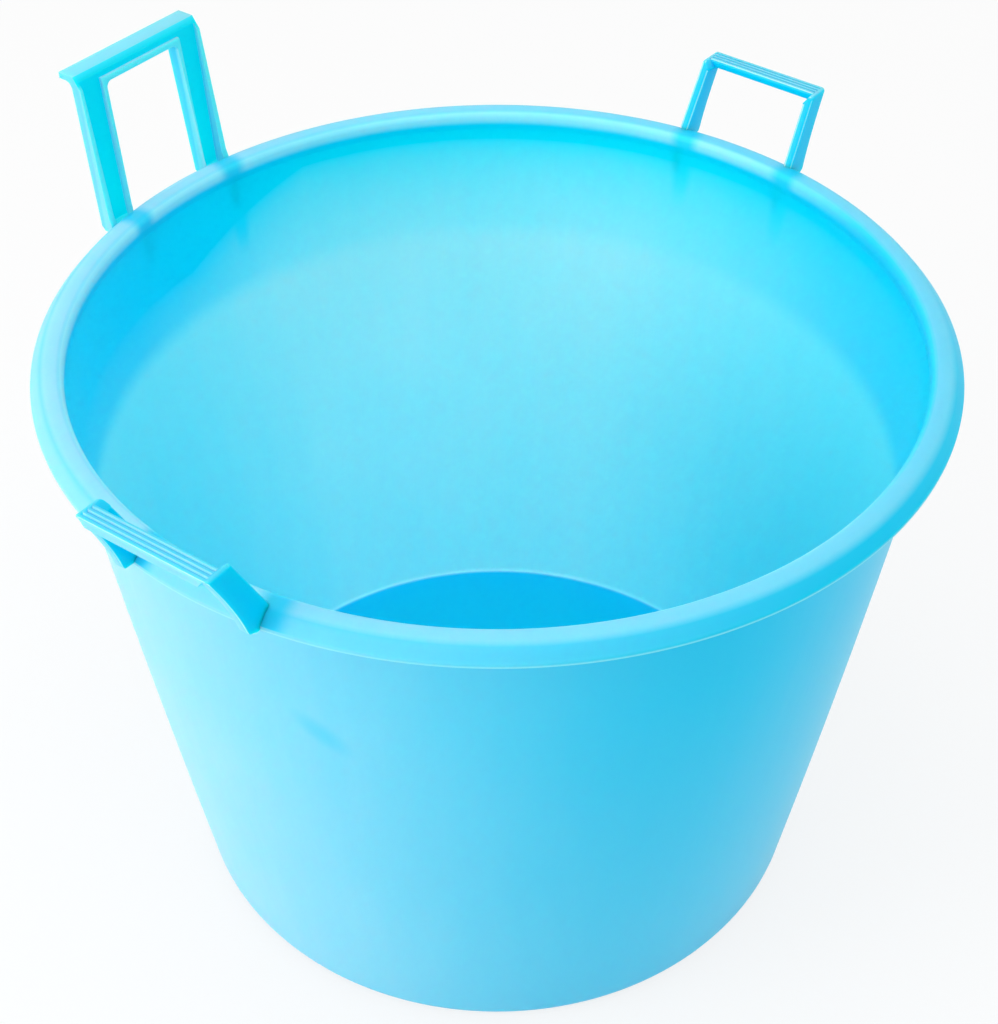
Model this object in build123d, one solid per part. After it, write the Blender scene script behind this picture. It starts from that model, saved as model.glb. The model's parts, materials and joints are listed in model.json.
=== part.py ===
"""Three-handled builder's tub in polyethylene, taken apart into the members of its moulding.

Millimetres, +Z up. The origin is on the ground under the middle of the tub. The tall handle
stands at +Y, the two carrying handles near +X and -X, and the pouring side at -Y is bare.
"""
import os
from math import asin, atan2, degrees, tan

from build123d import *

# Tub body
rim_height = 405.0          # top of the rim above the ground
rim_radius = 275.0          # outermost edge of the rim
rim_overhang = 15.5         # that edge beyond the outside of the wall's head
wall_taper = 45.5           # how far the wall leans in from its head to its foot
wall_thickness = 3.0

# Base: a ring to stand on, and a floor panel lifted clear of the ground
base_height = 16.0
base_corner = 12.0          # radius of the corner outside
inner_bevel = 4.0           # run of the slope from the floor up to the wall inside
foot_width = 6.0            # flat that touches the ground
foot_bevel = 3.0            # run of the step up to the floor panel
floor_lift = 3.0
floor_thickness = 3.5
gate_radius = 7.0           # pip left under the floor where the mould was filled
gate_height = 1.2

# Rim: a flat crown with a bead inside, and a flared skirt outside
crown_thickness = 3.2
rim_root = 14.0             # depth of the crown's root below the rim's top
crown_lap = 2.5             # crown ends this far outside the wall's head
bead_bulge = 1.0            # how far the bead stands inside the wall
bead_depth = 8.0
bead_round = 5.0
skirt_flare = 7.0           # run of the slope outside the crown
skirt_drop = 8.0            # fall of that slope
skirt_land = 3.0            # upright band along the lower edge
skirt_thickness = 3.0
crease_round = 4.5

# Places round the rim, in degrees
tall_angle = 90.0           # the tall handle stands at +Y
carry_angle = 91.7          # from the tall handle round to each carrying handle

# Carrying handles: a flat strap bent to an upside-down U
carry_rise = 43.0           # top of the grip above the rim
carry_overhang = 26.5       # outer edge of the grip beyond the rim
carry_length = 87.0
carry_depth = 15.5
strap_thickness = 6.0
strap_round = 1.6
carry_splay = 1.5           # each leg's foot stands this much wider than the grip
carry_foot_setback = 13.5   # inner edge of a foot from the rim's outermost edge
carry_foot_overhang = 2.0   # outer edge of a foot beyond the rim
groove_count = 3
groove_width = 2.2
groove_depth = 1.1

# Tall handle: a channel open towards the tub, with a lip along its top
tall_rise = 94.0
tall_length = 106.0
tall_leg_width = 21.5
tall_bar_height = 10.5
tall_splay = 2.5
tall_head_depth = 7.6       # from the outer face to the open side, at the top
tall_foot_depth = 8.5       # and at the foot
tall_top_reach = 13.0       # outer face of the legs beyond the rim, at the top
tall_foot_reach = 4.0       # and at the foot
lip_overhang = 10.0
lip_thickness = 4.0
lip_hollow = 5.0            # radius of the corner under the lip
brow_run = 5.4              # slope from the open side up to the top
brow_drop = 8.0
channel_web = 2.6           # outer wall of the channel, which runs down to the rim
channel_flange = 2.2
bar_flange = 3.5            # ledge along the foot of the bar
tall_round = 1.2
window_round = 4.0

# Webs under the rim, in line with each leg
web_thickness = 4.0
carry_web_drop = 30.0       # below the rim's top, along the wall
tall_web_drop = 34.0
web_lift = 1.0              # web ends this far above the skirt's lower edge

wall_head = rim_height - rim_root
wall_head_radius = rim_radius - rim_overhang
wall_foot_radius = wall_head_radius - wall_taper
wall_slope = wall_taper / (wall_head - base_height)
skirt_bottom = rim_height - skirt_drop - skirt_land
crease_radius = rim_radius - skirt_flare
crown_edge = wall_head_radius + crown_lap
crown_under = rim_height - crown_thickness
root_radius = wall_head_radius + wall_slope * (crown_under - wall_head)
under_crease = crease_radius - crown_thickness / 2
skirt_inner = rim_radius - skirt_thickness
skirt_bend = atan2(skirt_flare, skirt_drop)
skirt_shoulder = rim_height - skirt_drop - skirt_thickness * tan(skirt_bend / 2)
far = 2 * rim_radius        # a cut that reaches past everything
along_share = 0.8           # an edge this much in line with a member runs along it


def face_rz(*corners):
    """Closed face in the radius and height plane, from rows of radius, height, corner radius."""
    outline = FilletPolyline(
        *[(r, z) for r, z, _ in corners], radius=[c for _, _, c in corners], close=True
    )
    return Plane.XZ * make_face(outline)


def ring(*corners):
    return revolve(face_rz(*corners), Axis.Z)


def across(half_top, half_foot, top, foot, corner=0.0):
    """Upright outline seen from the tub, narrower or wider at its foot."""
    outline = FilletPolyline(
        (-half_foot, foot), (half_foot, foot), (half_top, top), (-half_top, top),
        radius=[0, 0, corner, corner], close=True,
    )
    return make_face(outline)


def through(outline):
    """The upright outline carried out from the axis."""
    return extrude(Plane.YZ * outline, amount=far)


def tub_wall():
    return ring(
        (wall_foot_radius, base_height, 0),
        (wall_head_radius, wall_head, 0),
        (wall_head_radius - wall_thickness, wall_head, 0),
        (wall_foot_radius - wall_thickness, base_height, 0),
    )


ground_radius = wall_foot_radius - wall_slope * base_height
foot_inner_radius = ground_radius - base_corner - foot_width
floor_radius = foot_inner_radius - foot_bevel
floor_top = floor_lift + floor_thickness


def base_ring():
    inner_foot = wall_foot_radius - wall_thickness
    inner_floor = inner_foot - wall_slope * (base_height - floor_top)
    return ring(
        (wall_foot_radius, base_height, 0),
        (ground_radius, 0, base_corner),
        (foot_inner_radius, 0, 0),
        (floor_radius, floor_lift, 0),
        (floor_radius, floor_top, 0),
        (inner_floor - inner_bevel, floor_top, 0),
        (inner_floor + wall_slope * inner_bevel, floor_top + inner_bevel, 0),
        (inner_foot, base_height, 0),
    )


def floor_panel():
    panel = Pos(0, 0, floor_lift) * Cylinder(
        floor_radius, floor_thickness, align=(Align.CENTER, Align.CENTER, Align.MIN)
    )
    pip = Pos(0, 0, floor_lift) * Cylinder(
        gate_radius, gate_height, align=(Align.CENTER, Align.CENTER, Align.MAX)
    )
    return panel + pip


def rim_crown():
    bead_radius = wall_head_radius - wall_thickness - bead_bulge
    return ring(
        (wall_head_radius, wall_head, 0),
        (root_radius, crown_under, 0),
        (crown_edge, crown_under, 0),
        (crown_edge, rim_height, 0),
        (bead_radius, rim_height, bead_round),
        (bead_radius, rim_height - bead_depth, 0),
        (wall_head_radius - wall_thickness, wall_head, 0),
    )


def rim_skirt():
    return ring(
        (crown_edge, rim_height, 0),
        (crease_radius, rim_height, crease_round),
        (rim_radius, rim_height - skirt_drop, 0),
        (rim_radius, skirt_bottom, 0),
        (skirt_inner, skirt_bottom, 0),
        (skirt_inner, skirt_shoulder, 0),
        (under_crease, crown_under, 0),
        (crown_edge, crown_under, 0),
    )


def under_rim_shape():
    """Everything inside the outer surface of the rim, which the handles stand on."""
    return ring(
        (0, 0, 0),
        (0, rim_height, 0),
        (crease_radius, rim_height, crease_round),
        (rim_radius, rim_height - skirt_drop, 0),
        (rim_radius, 0, 0),
    )


def soften(member, direction, radius):
    """Round the edges that run along a member. Its ends stay crisp."""
    edges = [edge for edge in member.edges() if abs(edge.tangent_at(0.5).dot(direction)) > along_share]
    return member.fillet(radius, edges)


def take_apart(loop, corner):
    """Grip and two legs of a loop, parted on mitres from the window's corners to the outside.

    The corner is half width and height at the window, then half width and height outside.
    Legs come back in order along the rim.
    """
    half, height, outer_half, outer_height = corner
    run, rise = outer_half - half, outer_height - height
    wedge = make_face(
        Polyline(
            (-half + run / 2, height - rise / 2), (half - run / 2, height - rise / 2),
            (half + 2 * run, height + 2 * rise), (-half - 2 * run, height + 2 * rise), close=True,
        )
    )
    grip = loop & through(wedge)
    legs = (loop - through(wedge)).solids().sort_by(Axis.Y)
    return [grip.solid(), *legs]


def carry_handle():
    """Strap loop of a carrying handle, standing at +X."""
    top = rim_height + carry_rise
    outer = rim_radius + carry_overhang
    inner = outer - carry_depth
    inner_foot = rim_radius - carry_foot_setback
    lean = (inner - inner_foot) / carry_rise
    side = face_rz(
        (inner, top, 0),
        (outer, top, 0),
        (rim_radius + carry_foot_overhang, skirt_bottom, 0),
        (inner_foot - lean * (rim_height - skirt_bottom), skirt_bottom, 0),
    )
    half = carry_length / 2
    half_foot = half + carry_splay
    window_top = top - strap_thickness
    front = across(half, half_foot, top, skirt_bottom) - across(
        half - strap_thickness, half_foot - strap_thickness, window_top, skirt_bottom
    )
    loop = extrude(side, amount=carry_length, both=True) & through(front)
    grip, *legs = take_apart(loop, (half - strap_thickness, window_top, half, top))
    grip = soften(grip, Axis.Y.direction, strap_round)
    pitch = carry_depth / (groove_count + 1)
    for k in range(groove_count):
        middle = inner + pitch * (k + 1)
        groove = face_rz(
            (middle - groove_width / 2, top, 0),
            (middle, top - groove_depth, 0),
            (middle + groove_width / 2, top, 0),
        )
        grip -= extrude(groove, amount=half - strap_thickness, both=True)
    legs = [soften(leg, Axis.Z.direction, strap_round) - under_rim_shape() for leg in legs]
    return [grip, *legs]


def tall_handle():
    """Channel loop of the tall handle, standing at +X before it is turned."""
    top = rim_height + tall_rise
    outer_top = rim_radius + tall_top_reach
    outer_foot = rim_radius + tall_foot_reach
    brow = outer_top - tall_head_depth
    kick = rim_height - skirt_bottom
    side = face_rz(
        (brow + brow_run, top, tall_round),
        (outer_top + lip_overhang, top, tall_round),
        (outer_top + lip_overhang, top - lip_thickness, tall_round),
        (outer_top, top - lip_thickness, lip_hollow),
        (outer_foot, rim_height, 0),
        (outer_foot - kick, skirt_bottom, 0),
        (outer_foot - tall_foot_depth - kick, skirt_bottom, 0),
        (outer_foot - tall_foot_depth, rim_height, 0),
        (brow, top - brow_drop, 0),
    )
    half = tall_length / 2
    window = half - tall_leg_width
    window_top = top - tall_bar_height
    front = across(half, half + tall_splay, top, skirt_bottom) - across(
        window, window, window_top, skirt_bottom, window_round
    )
    loop = extrude(side, amount=tall_length, both=True) & through(front)
    channel = across(half - channel_flange, half - channel_flange, top, rim_height)
    channel -= across(
        window + channel_flange, window + channel_flange, window_top + bar_flange, rim_height
    )
    reach = face_rz(
        (0, rim_height, 0),
        (outer_foot - channel_web, rim_height, 0),
        (outer_top - channel_web, top, 0),
        (0, top, 0),
    )
    loop -= extrude(reach, amount=tall_length, both=True) & through(channel)
    loop -= under_rim_shape()
    return take_apart(loop, (window, window_top, half, top))


def rim_web(drop):
    """Slice of the space under the rim, from the skirt down to the wall, standing at +X."""
    foot = rim_height - drop
    space = ring(
        (wall_head_radius - wall_slope * (wall_head - foot), foot, 0),
        (root_radius, crown_under, 0),
        (under_crease, crown_under, 0),
        (skirt_inner, skirt_shoulder, 0),
        (skirt_inner, skirt_bottom + web_lift, 0),
    )
    slice_plate = Box(far, web_thickness, far, align=(Align.MIN, Align.CENTER, Align.MIN))
    return (space & slice_plate).solid()


def turned(shape, angle):
    return Rot(0, 0, angle) * shape


nodes = {
    "base_ring": base_ring(),
    "floor_panel": floor_panel(),
    "tub_wall": tub_wall(),
    "rim_crown": rim_crown(),
    "rim_skirt": rim_skirt(),
}

# The carrying handles mirror each other about the plane of the tall one. Front is towards -Y.
carry_grip, carry_front, carry_rear = carry_handle()
right_angle = tall_angle - carry_angle
carry_web_angle = degrees(asin((carry_length - strap_thickness) / 2 / wall_head_radius))
carry_pieces = {
    "grip": carry_grip,
    "front_leg": carry_front,
    "rear_leg": carry_rear,
    "front_web": turned(rim_web(carry_web_drop), -carry_web_angle),
    "rear_web": turned(rim_web(carry_web_drop), carry_web_angle),
}
for piece, shape in carry_pieces.items():
    right = turned(shape, right_angle)
    nodes["right_" + piece] = right
    nodes["left_" + piece] = mirror(right, about=Plane.YZ)

tall_grip, tall_right, tall_left = tall_handle()
tall_web_angle = degrees(asin((tall_length - tall_leg_width) / 2 / wall_head_radius))
tall_pieces = {
    "grip": tall_grip,
    "right_leg": tall_right,
    "left_leg": tall_left,
    "right_web": turned(rim_web(tall_web_drop), -tall_web_angle),
    "left_web": turned(rim_web(tall_web_drop), tall_web_angle),
}
for piece, shape in tall_pieces.items():
    nodes["tall_" + piece] = turned(shape, tall_angle)

os.makedirs("parts", exist_ok=True)
for name, shape in nodes.items():
    export_step(shape, f"parts/{name}.step")
    print(f"{name}: {shape.volume:.0f} cubic millimetres")
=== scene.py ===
# %% [markdown]
# # A three-handled builder's tub
#
# The real tub is one injection moulding in soft, light cyan polyethylene: a tapered wall, a floor,
# a flared rim, two strap handles for carrying and a taller handle for tipping. Light goes through
# its 3 mm wall, so most of the look lies in how the plastic scatters it.
#
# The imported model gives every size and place. It is loaded first and is never moved.

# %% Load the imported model
import json
from math import atan2, ceil, cos, pi, radians, sin, tan

import bmesh
import bpy
from mathutils import Matrix, Vector

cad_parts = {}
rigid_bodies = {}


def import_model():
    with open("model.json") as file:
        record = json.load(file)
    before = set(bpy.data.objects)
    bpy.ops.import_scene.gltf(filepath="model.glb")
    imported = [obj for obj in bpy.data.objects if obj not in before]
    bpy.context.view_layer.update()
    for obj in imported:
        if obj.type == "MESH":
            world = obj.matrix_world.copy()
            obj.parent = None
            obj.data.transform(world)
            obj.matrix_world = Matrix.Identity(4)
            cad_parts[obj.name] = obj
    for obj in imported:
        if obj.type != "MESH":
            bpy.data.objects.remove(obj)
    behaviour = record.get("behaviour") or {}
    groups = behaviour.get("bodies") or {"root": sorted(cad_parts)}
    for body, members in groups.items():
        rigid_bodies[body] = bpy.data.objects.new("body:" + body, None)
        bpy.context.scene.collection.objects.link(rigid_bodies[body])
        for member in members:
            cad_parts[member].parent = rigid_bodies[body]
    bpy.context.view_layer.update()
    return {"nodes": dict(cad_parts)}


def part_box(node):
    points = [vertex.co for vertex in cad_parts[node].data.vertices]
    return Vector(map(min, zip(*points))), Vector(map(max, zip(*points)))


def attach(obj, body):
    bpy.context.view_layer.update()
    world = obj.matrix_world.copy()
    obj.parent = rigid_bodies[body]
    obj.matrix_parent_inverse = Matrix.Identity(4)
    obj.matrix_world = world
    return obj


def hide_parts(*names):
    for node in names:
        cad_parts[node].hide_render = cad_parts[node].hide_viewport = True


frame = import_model()
MM = 0.001
print("solids loaded:", len(frame["nodes"]))

# %% [markdown]
# ## Camera
#
# The camera comes first, because every later choice is looked at through it. Its lens, height and
# distance were worked out from the outlines of the rim, the floor and the wall. It looks down
# from the bare pouring side, with the tall handle at the far left.
# A camera can be placed by hand or by a constraint. Here its place is worked out from an angle round
# the tub and an angle above the ground, so that each can be changed by itself.

# %% Camera at the photograph's viewing angle
IMAGE_WIDTH = 998
IMAGE_HEIGHT = 1024
SENSOR = 36.0                 # mm, along the longer side of the image
FOCAL_PIXELS = 1800.0
TUB_AXIS_PIXEL = 497.2        # column of the image on which the tub's axis stands
VIEW_TURN = radians(-53.6)    # round the tub from the pouring side
VIEW_RISE = radians(41.2)
VIEW_DISTANCE = 1.1726        # m
AIM = Vector((0, 0, 0.2549))


def direction_at(turn, rise):
    """Direction from the tub at an angle round it and an angle above the ground."""
    return Vector((sin(turn) * cos(rise), -cos(turn) * cos(rise), sin(rise)))


def as_object(name, data):
    obj = bpy.data.objects.new(name, data)
    bpy.context.scene.collection.objects.link(obj)
    return obj


def looking_at(name, data, target, away, distance):
    """Camera or lamp at a distance from a target, turned towards it."""
    obj = as_object(name, data)
    obj.location = target + distance * away
    obj.rotation_euler = (-away).to_track_quat("-Z", "Y").to_euler()
    return obj


camera_data = bpy.data.cameras.new("camera")
camera_data.sensor_width = SENSOR
camera_data.lens = FOCAL_PIXELS * SENSOR / IMAGE_HEIGHT
camera_data.shift_x = (IMAGE_WIDTH / 2 - TUB_AXIS_PIXEL) / IMAGE_HEIGHT
camera = looking_at("camera", camera_data, AIM, direction_at(VIEW_TURN, VIEW_RISE), VIEW_DISTANCE)
bpy.context.scene.camera = camera
print("camera at", [round(c, 3) for c in camera.location], "lens", round(camera_data.lens, 2), "mm")

# %% [markdown]
# ## Sizes
#
# The main sizes are read off the solids, so the dressed tub cannot drift away from them. Only what
# a box cannot tell, such as a wall's thickness, is written down here. All are in millimetres.

# %% Sizes read from the solids
def top_of(node):
    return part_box(node)[1].z / MM


def bottom_of(node):
    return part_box(node)[0].z / MM


def radius_of(node):
    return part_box(node)[1].x / MM


rim_height = top_of("rim_skirt")
rim_radius = radius_of("rim_skirt")
skirt_bottom = bottom_of("rim_skirt")
wall_head = top_of("tub_wall")
wall_head_radius = radius_of("tub_wall")
wall_foot = bottom_of("tub_wall")
wall_foot_radius = radius_of("base_ring")
floor_top = top_of("floor_panel")
floor_edge = radius_of("floor_panel")
gate_foot = bottom_of("floor_panel")
WALL = 3.0
wall_slope = (wall_head_radius - wall_foot_radius) / (wall_head - wall_foot)
print(f"rim {rim_radius:.1f} at {rim_height:.1f}, wall leans {wall_slope:.3f} mm per mm")

# %% [markdown]
# ## Rounded outlines
#
# Moulded plastic has no sharp corners. Each outline here is a list of corners, each with a radius, and
# one function swaps a corner for an arc. A bevel modifier could do this after the mesh is made, but on
# a turned shape it is simpler to round the outline once, before it is turned.

# %% Outlines with rounded corners
ARC_STEP = radians(11)
STRAIGHT = pi - 0.001         # a corner that opens this wide is left as it is


def arc_at(before, corner, after, radius, steps=None):
    """Points of the arc that rounds a corner between two straight runs."""
    corner = Vector(corner)
    back = (Vector(before) - corner).normalized()
    ahead = (Vector(after) - corner).normalized()
    opening = back.angle(ahead)
    if radius == 0 or opening > STRAIGHT:
        return [corner] * (1 if steps is None else steps + 1)
    reach = radius / tan(opening / 2)
    middle = corner + (back + ahead).normalized() * (radius / sin(opening / 2))
    start = corner + back * reach - middle
    turn = pi - opening
    if back.x * ahead.y - back.y * ahead.x > 0:
        turn = -turn
    steps = steps or ceil(abs(turn) / ARC_STEP)
    points = []
    for k in range(steps + 1):
        a = turn * k / steps
        points.append(middle + Vector((start.x * cos(a) - start.y * sin(a),
                                       start.x * sin(a) + start.y * cos(a))))
    return points


def rounded(corners, closed=False):
    """Outline from rows of two places and a radius. An open outline keeps its two ends."""
    points = []
    for k, (a, b, radius) in enumerate(corners):
        if not closed and k in (0, len(corners) - 1):
            points.append(Vector((a, b)))
        else:
            points += arc_at(corners[k - 1][:2], (a, b), corners[(k + 1) % len(corners)][:2], radius)
    return points


def divided(points, longest):
    """The same outline with its long runs cut into shorter ones."""
    result = [points[0]]
    for start, end in zip(points, points[1:]):
        pieces = max(1, ceil((end - start).length / longest))
        result += [start.lerp(end, k / pieces) for k in range(1, pieces + 1)]
    return result


print("an arc has a point every", round(ARC_STEP * 180 / pi), "degrees")

# %% [markdown]
# ## The tub, turned in one
#
# Wall, floor and rim are one skin on the real tub. They could be five meshes set end to end, but then
# light inside the plastic would stop at each joint and show it. So one closed outline of the whole
# section is turned round the axis.
# The section starts in the middle of the floor inside and ends in the middle underneath. The wall is
# bowed out a little at half height, as soft tubs are after use.

# %% Section of the tub
INNER_CORNER = 4.0       # radius between floor and wall inside
BASE_CORNER = 12.0
BEAD_BULGE = 1.0         # the bead stands this far inside the wall
BEAD_DEPTH = 8.0
BEAD_ROUND = 5.0
CROWN = 3.2              # thickness of the rim's flat top
CREASE_RUN = 7.0         # outer slope of the rim
CREASE_DROP = 8.0
CREASE_ROUND = 9.0
SKIRT = 3.0
FOOT_BEVEL = 3.0
FLOOR_LIFT = 3.0
GATE_RADIUS = 7.0        # pip where the mould was filled
SLACK_BEND = 4.0         # bends inside the rim, hardly seen
LAND_BEND = 1.2          # bend above the upright land of the skirt
SKIRT_EDGE = 0.8
SHOULDER = 1.1           # the bend inside the skirt lies this much lower than outside
UNDER_BEND = 1.5         # bends under the crown
FOOT_BEND = 1.0
PIP_EDGE = 0.5


def wall_radius(height):
    return wall_foot_radius + wall_slope * (height - wall_foot)


def tub_section():
    crown_under = rim_height - CROWN
    bead = wall_head_radius - WALL - BEAD_BULGE
    crease = rim_radius - CREASE_RUN
    foot_inner = floor_edge + FOOT_BEVEL
    return rounded([
        (0, floor_top, 0),
        (wall_radius(floor_top) - WALL, floor_top, INNER_CORNER),
        (wall_head_radius - WALL, wall_head, SLACK_BEND),
        (bead, rim_height - BEAD_DEPTH, SLACK_BEND / 2),
        (bead, rim_height, BEAD_ROUND),
        (crease, rim_height, CREASE_ROUND),
        (rim_radius, rim_height - CREASE_DROP, LAND_BEND),
        (rim_radius, skirt_bottom, SKIRT_EDGE),
        (rim_radius - SKIRT, skirt_bottom, SKIRT_EDGE),
        (rim_radius - SKIRT, rim_height - CREASE_DROP - SHOULDER, SKIRT_EDGE),
        (crease - CROWN / 2, crown_under, UNDER_BEND),
        (wall_radius(crown_under), crown_under, UNDER_BEND),
        (wall_radius(0), 0, BASE_CORNER),
        (foot_inner, 0, FOOT_BEND),
        (floor_edge, FLOOR_LIFT, FOOT_BEND),
        (GATE_RADIUS, FLOOR_LIFT, PIP_EDGE),
        (GATE_RADIUS, gate_foot, PIP_EDGE),
        (0, gate_foot, 0),
    ])


print("section of", len(tub_section()), "points")

# %% Bow the wall
WALL_BOW = 1.6
LONGEST_RUN = 11.0


def bowed(point):
    share = (point.y - wall_foot) / (wall_head - wall_foot)
    if not 0 < share < 1:
        return point
    return Vector((point.x + WALL_BOW * 4 * share * (1 - share), point.y))


section = [bowed(p) for p in divided(tub_section(), LONGEST_RUN)]
print("bowed section of", len(section), "points")

# %% Turn the section round the axis
TURNS = 320
SHARP_FROM = radians(35)      # edges that turn more than this stay sharp


def mesh_of(name, points, faces):
    mesh = bpy.data.meshes.new(name)
    mesh.from_pydata(points, [], faces)
    mesh.update()
    return mesh


def turned(name, outline):
    """Closed mesh turned from an open outline that starts and ends on the axis."""
    rings = outline[1:-1]
    points = [(0, 0, outline[0].y * MM), (0, 0, outline[-1].y * MM)]
    for p in rings:
        for k in range(TURNS):
            a = 2 * pi * k / TURNS
            points.append((p.x * cos(a) * MM, p.x * sin(a) * MM, p.y * MM))
    faces = []
    for k in range(TURNS):
        n = (k + 1) % TURNS
        faces.append((0, 2 + k, 2 + n))
        for ring in range(len(rings) - 1):
            low, high = 2 + ring * TURNS, 2 + (ring + 1) * TURNS
            faces.append((low + k, high + k, high + n, low + n))
        last = 2 + (len(rings) - 1) * TURNS
        faces.append((1, last + n, last + k))
    return as_object(name, mesh_of(name, points, faces))


def tidy_normals(obj):
    bm = bmesh.new()
    bm.from_mesh(obj.data)
    bmesh.ops.recalc_face_normals(bm, faces=bm.faces)
    bm.to_mesh(obj.data)
    bm.free()
    obj.data.shade_smooth()
    obj.data.set_sharp_from_angle(angle=SHARP_FROM)


tub = turned("tub_body", section)
tidy_normals(tub)
print("tub_body:", len(tub.data.vertices), "vertices")

# %% [markdown]
# ## Carrying handles
#
# Each is a flat strap, 6 mm thick, bent to an upside-down U that leans out over the rim. Its legs are
# plates, 17 mm deep at the top and deeper at the foot. The grip between them is a narrower upright bar
# that lies behind their inner edges, with three shallow grooves along its top. A curve with a bevel
# object would twist in the corners, so the strap is lofted: an outline along the window and one along
# the outside are paired point by point, and a rounded section is hung between each pair. Each
# point also keeps how deep in a groove it lies, so that painted shade can be put in the grooves.

# %% Outline of the strap
STRAP = 6.0
GRIP_LENGTH = 87.0
FOOT_DROP = 10.0             # the feet run down this far over the edge of the rim
STRAP_SPLAY = 1.5            # each foot stands this much wider than the grip
STRAP_CORNER = 2.2
WINDOW_CORNER = 0.6
LEG_STEPS = 10
GRIP_STEPS = 24
CORNER_STEPS = 6
END_STEP = 0.01              # the grip begins this share of its length behind a corner
grip_top = top_of("right_grip")
foot_bottom = rim_height - FOOT_DROP


def strap_outline(half_top, half_foot, top, corner):
    """One edge of the strap seen from the tub, foot to foot, with a fixed count of points."""
    path = [(-half_foot, foot_bottom), (-half_top, top), (half_top, top), (half_foot, foot_bottom)]
    left = arc_at(*path[:3], corner, CORNER_STEPS)
    right = arc_at(*path[1:], corner, CORNER_STEPS)
    up = [Vector(path[0]).lerp(left[0], k / LEG_STEPS) for k in range(LEG_STEPS)]
    stations = [END_STEP, *(k / GRIP_STEPS for k in range(1, GRIP_STEPS)), 1 - END_STEP]
    over = [left[-1].lerp(right[0], share) for share in stations]
    down = [right[-1].lerp(Vector(path[3]), k / LEG_STEPS) for k in range(1, LEG_STEPS + 1)]
    return up + left + over + right + down


half_grip = GRIP_LENGTH / 2
half_foot = half_grip + STRAP_SPLAY
outer_edge = strap_outline(half_grip, half_foot, grip_top, STRAP_CORNER)
window_edge = strap_outline(half_grip - STRAP, half_foot - STRAP, grip_top - STRAP, WINDOW_CORNER)
print("strap of", len(outer_edge), "stations")

# %% Section of the strap
STRAP_ROUND = 1.2
INNER_ROUND = 2.0            # round edge towards the tub
EDGE_STEPS = 5
GROOVES = 3
GROOVE_WIDTH = 2.0
GROOVE_FLAT = 0.3            # share of its width that is flat at the bottom


def groove_rows(share):
    """Four rows across a groove: two at its edges and two at its bottom."""
    half = GROOVE_WIDTH / 2
    flat = half * GROOVE_FLAT
    return [(share, half, 1, 0), (share, flat, 1, 1), (share, -flat, 1, 1), (share, -half, 1, 0)]


def strap_section():
    """Rows of depth share, step from there in millimetres, thickness share and groove share."""
    rows = []
    for u, v, radius, start in [(1, 0, STRAP_ROUND, -90), (1, 1, STRAP_ROUND, 0),
                                (0, 1, INNER_ROUND, 90), (0, 0, INNER_ROUND, 180)]:
        for k in range(EDGE_STEPS + 1):
            a = radians(start + 90 * k / EDGE_STEPS)
            thick = v + radius * (sin(a) + 1 - 2 * v) / STRAP
            rows.append((u, radius * (cos(a) + 1 - 2 * u), thick, 0))
        if start == 0:
            for groove in range(GROOVES, 0, -1):
                rows += groove_rows(groove / (GROOVES + 1))
    return rows


print(len(strap_section()), "points round the strap")

# %% Loft the strap
GRIP_DEPTH = 12.5
GROOVE_DEPTH = 0.8
LEG_DEPTH = 17.0             # at the top
GRIP_OVERHANG = 25.9         # reach past the rim's edge
FOOT_OVERHANG = 4.5
FOOT_SETBACK = 13.0          # inner edge of a foot from the rim's edge
FOOT_SLANT = 0.7             # the feet are cut off at a slant
LEG_CURVE = 1.3              # above 1 the outer edge of a leg is hollow


def leg_reach(height):
    """Nearest and furthest reach of a leg from the axis at a height."""
    head = rim_radius + GRIP_OVERHANG
    foot = rim_radius - FOOT_SETBACK
    near = foot + (head - LEG_DEPTH - foot) * (height - rim_height) / (grip_top - rim_height)
    share = max(0, (height - foot_bottom) / (grip_top - foot_bottom))
    far = rim_radius + FOOT_OVERHANG + (GRIP_OVERHANG - FOOT_OVERHANG) * share ** LEG_CURVE
    return near, far


def carrying_strap(name, angle):
    rows = strap_section()
    first = LEG_STEPS + CORNER_STEPS + 1
    grip_far = rim_radius + GRIP_OVERHANG
    points, sunk = [], []
    for k, (outside, window) in enumerate(zip(outer_edge, window_edge)):
        on_grip = first <= k < len(outer_edge) - first
        at_end = k in (0, len(outer_edge) - 1)
        for depth, step, thick, groove in rows:
            flat = window.lerp(outside, thick - on_grip * groove * GROOVE_DEPTH / STRAP)
            near, far = (grip_far - GRIP_DEPTH, grip_far) if on_grip else leg_reach(flat.y)
            out = near + (far - near) * depth + step
            lift = at_end * FOOT_SLANT * max(0, out - rim_radius)
            points.append(Vector((out, flat.x, flat.y + lift)) * MM)
            sunk.append(on_grip * groove)
    count = len(rows)
    faces = [tuple(range(count)), tuple(reversed(range(len(points) - count, len(points))))]
    for s in range(len(outer_edge) - 1):
        for k in range(count):
            n = (k + 1) % count
            faces.append((s * count + k, s * count + n, (s + 1) * count + n, (s + 1) * count + k))
    mesh = mesh_of(name, points, faces)
    mesh.attributes.new("groove", "FLOAT", "POINT").data.foreach_set("value", sunk)
    mesh.transform(Matrix.Rotation(angle, 4, "Z"))
    return as_object(name, mesh)


def angle_of(node):
    low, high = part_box(node)
    return atan2(low.y + high.y, low.x + high.x)


straps = [carrying_strap(f"{side}_handle", angle_of(f"{side}_grip")) for side in ("right", "left")]
print([s.name for s in straps])

# %% [markdown]
# ## Tall handle
#
# The tall handle is a channel, open towards the tub, with a lip along its top and a ledge along the
# foot of its bar. Its window is a little wider inside than outside. Seen from the side and seen from
# the tub it has two plain outlines. So it is made as a joiner would saw it: one outline carried
# sideways, cut by the other carried through it, and then hollowed. Boolean modifiers do the cutting,
# and a bevel rounds what they leave sharp.

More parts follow.
